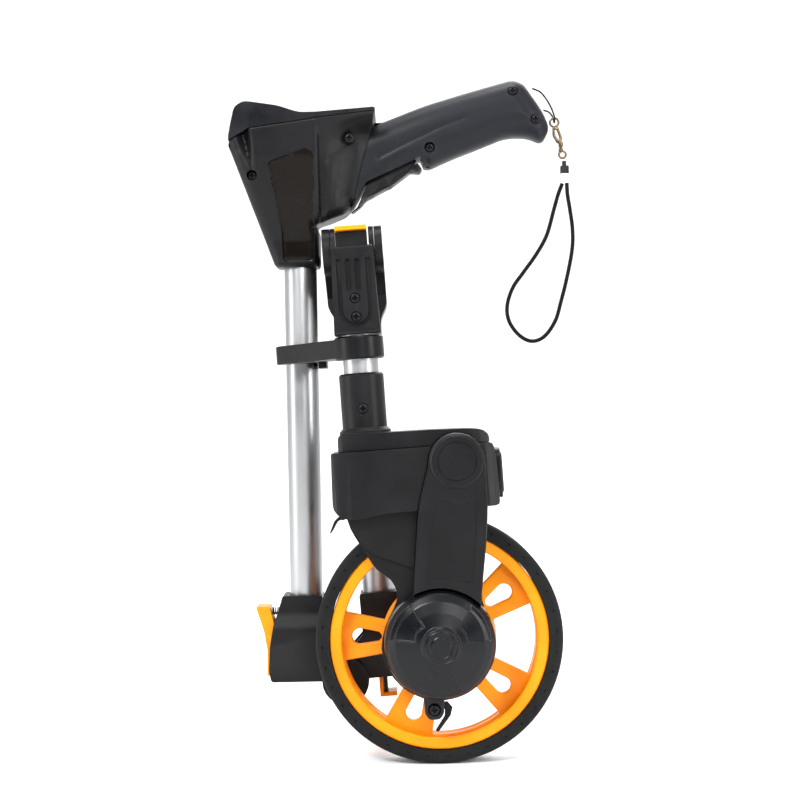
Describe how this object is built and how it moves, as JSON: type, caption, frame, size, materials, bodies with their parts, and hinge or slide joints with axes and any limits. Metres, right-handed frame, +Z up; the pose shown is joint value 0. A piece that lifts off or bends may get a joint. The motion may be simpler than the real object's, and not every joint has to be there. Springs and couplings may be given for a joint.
{
  "type": "measuring wheel",
  "caption": "Folding distance measuring wheel, shown folded: orange spoked wheel in a fork, two latched fold joints, pistol grip with display head and wrist strap",
  "frame": {"origin": "On the wheel axle's line, on the flat centre face of the hub cover", "axes": "+Z up along the folded handle's tube, -Y out of the hub cover's face, +X towards the grip's end"},
  "size_m": [0.2314, 0.1371, 0.4485],
  "materials": {
    "tube_aluminium": "satin drawn tube with fine lengthwise grain",
    "black_plastic": "fine spark-textured moulding",
    "gloss_black": "smooth satin-gloss moulding",
    "grip_plastic": "fine grained moulding with a cool tint",
    "orange_plastic": "smooth orange moulding",
    "tyre_rubber": "dry speckled rubber",
    "belt_rubber": "ribbed belt rubber",
    "steel": "turned steel",
    "dark_steel": "black oxide",
    "nickel": "worn nickel plate",
    "board_green": "solder mask",
    "display_grey": "liquid crystal display",
    "clear_lens": "clear moulded window",
    "webbing": "round braided cord"
  },
  "bodies": {
    "fork": {"lower_tube": "tube_aluminium", "stem_socket": "black_plastic", "fork_front_shell": "black_plastic", "fork_rear_shell": "black_plastic", "belt_cover": "black_plastic", "hub_cover": "gloss_black", "counter_cover": "gloss_black", "axle": "steel", "socket_screw": "dark_steel", "hub_screw": "dark_steel", "pointer": "dark_steel", "parking_bracket": "black_plastic", "drive_belt": "belt_rubber", "sensor_board": "board_green", "upper_hinge_block": "black_plastic", "upper_catch": "orange_plastic", "upper_hinge_pin": "steel", "upper_hinge_screw_1": "dark_steel", "upper_hinge_screw_2": "dark_steel"},
    "wheel": {"wheel_rim": "orange_plastic", "tyre": "tyre_rubber", "hub_pulley": "black_plastic", "front_bearing": "steel", "rear_bearing": "steel"},
    "counter": {"counter_pulley": "black_plastic"},
    "reset": {"reset_lever": "black_plastic"},
    "middle": {"middle_tube": "tube_aluminium", "upper_latch_block": "black_plastic", "upper_lever_pin": "steel", "upper_latch_spring": "dark_steel", "lower_hinge_block": "black_plastic", "lower_catch": "orange_plastic", "lower_hinge_pin": "steel", "lower_hinge_screw_1": "dark_steel", "lower_hinge_screw_2": "dark_steel"},
    "upper_latch": {"upper_latch_lever": "orange_plastic"},
    "handle": {"upper_tube": "tube_aluminium", "lower_latch_block": "black_plastic", "lower_lever_pin": "steel", "lower_latch_spring": "dark_steel", "head_front_shell": "black_plastic", "head_rear_shell": "black_plastic", "display_bezel": "gloss_black", "display_lens": "clear_lens", "display_module": "display_grey", "grip_front_shell": "grip_plastic", "grip_rear_shell": "grip_plastic", "head_screw_1": "dark_steel", "head_screw_2": "dark_steel", "grip_screw_1": "dark_steel", "grip_screw_2": "dark_steel", "grip_screw_3": "dark_steel", "thread_loop": "webbing"},
    "lower_latch": {"lower_latch_lever": "orange_plastic"},
    "power": {"power_button": "orange_plastic"},
    "zero": {"zero_button": "orange_plastic"},
    "squeeze": {"trigger": "black_plastic"},
    "strap": {"clasp": "nickel", "crimp": "nickel", "strap_loop": "webbing"}
  },
  "joints": [
    {"name": "wheel_spin", "type": "hinge", "parent": "fork", "child": "wheel", "pos_m": [0, 0.0515, 0], "axis": [0, 1, 0], "continuous": true},
    {"name": "counter_spin", "type": "hinge", "parent": "fork", "child": "counter", "pos_m": [0.01243, 0.0515, 0.11444], "axis": [0, 1, 0], "continuous": true},
    {"name": "reset_swing", "type": "hinge", "parent": "fork", "child": "reset", "pos_m": [-0.06129, 0.0615, 0.0777], "axis": [0, -1, 0], "range_deg": [0, 20], "stiffness_Nm_per_rad": 0.05},
    {"name": "upper_fold", "type": "hinge", "parent": "fork", "child": "middle", "pos_m": [-0.05179, 0.0775, 0.25357], "axis": [0.9985, 0, 0.0541], "range_deg": [0, 180], "deforming": ["strap_loop"]},
    {"name": "lower_fold", "type": "hinge", "parent": "middle", "child": "handle", "pos_m": [-0.06232, 0.1035, -0.03272], "axis": [0, -1, 0], "range_deg": [0, 183.1], "deforming": ["strap_loop"]},
    {"name": "upper_latch_press", "type": "hinge", "parent": "middle", "child": "upper_latch", "pos_m": [-0.05033, 0.126, 0.22661], "axis": [-0.9985, 0, -0.0541], "range_deg": [0, 9], "stiffness_Nm_per_rad": 0.3, "deforming": ["upper_latch_spring"]},
    {"name": "lower_latch_press", "type": "hinge", "parent": "handle", "child": "lower_latch", "pos_m": [-0.1108, 0.1035, -0.0057], "axis": [0, 1, 0], "range_deg": [0, 9], "stiffness_Nm_per_rad": 0.3, "deforming": ["lower_latch_spring"]},
    {"name": "power_press", "type": "slide", "parent": "handle", "child": "power", "axis": [0, 0, -1], "range_m": [0, 0.0015], "stiffness_N_per_m": 400},
    {"name": "zero_press", "type": "slide", "parent": "handle", "child": "zero", "axis": [0, 0, -1], "range_m": [0, 0.0015], "stiffness_N_per_m": 400},
    {"name": "trigger_squeeze", "type": "hinge", "parent": "handle", "child": "squeeze", "pos_m": [-0.049, 0.1035, 0.285], "axis": [0, -1, 0], "range_deg": [0, 2], "stiffness_Nm_per_rad": 3},
    {"name": "strap_swing", "type": "hinge", "parent": "handle", "child": "strap", "pos_m": [0.0856, 0.1035, 0.3422], "axis": [0, -1, 0], "range_deg": [0, 60]}
  ],
  "couplings": [
    {"joint": "counter_spin", "follows": "wheel_spin", "ratio": 1.3333},
    {"joint": "lower_fold", "follows": "upper_fold", "ratio": 1.0172}
  ]
}
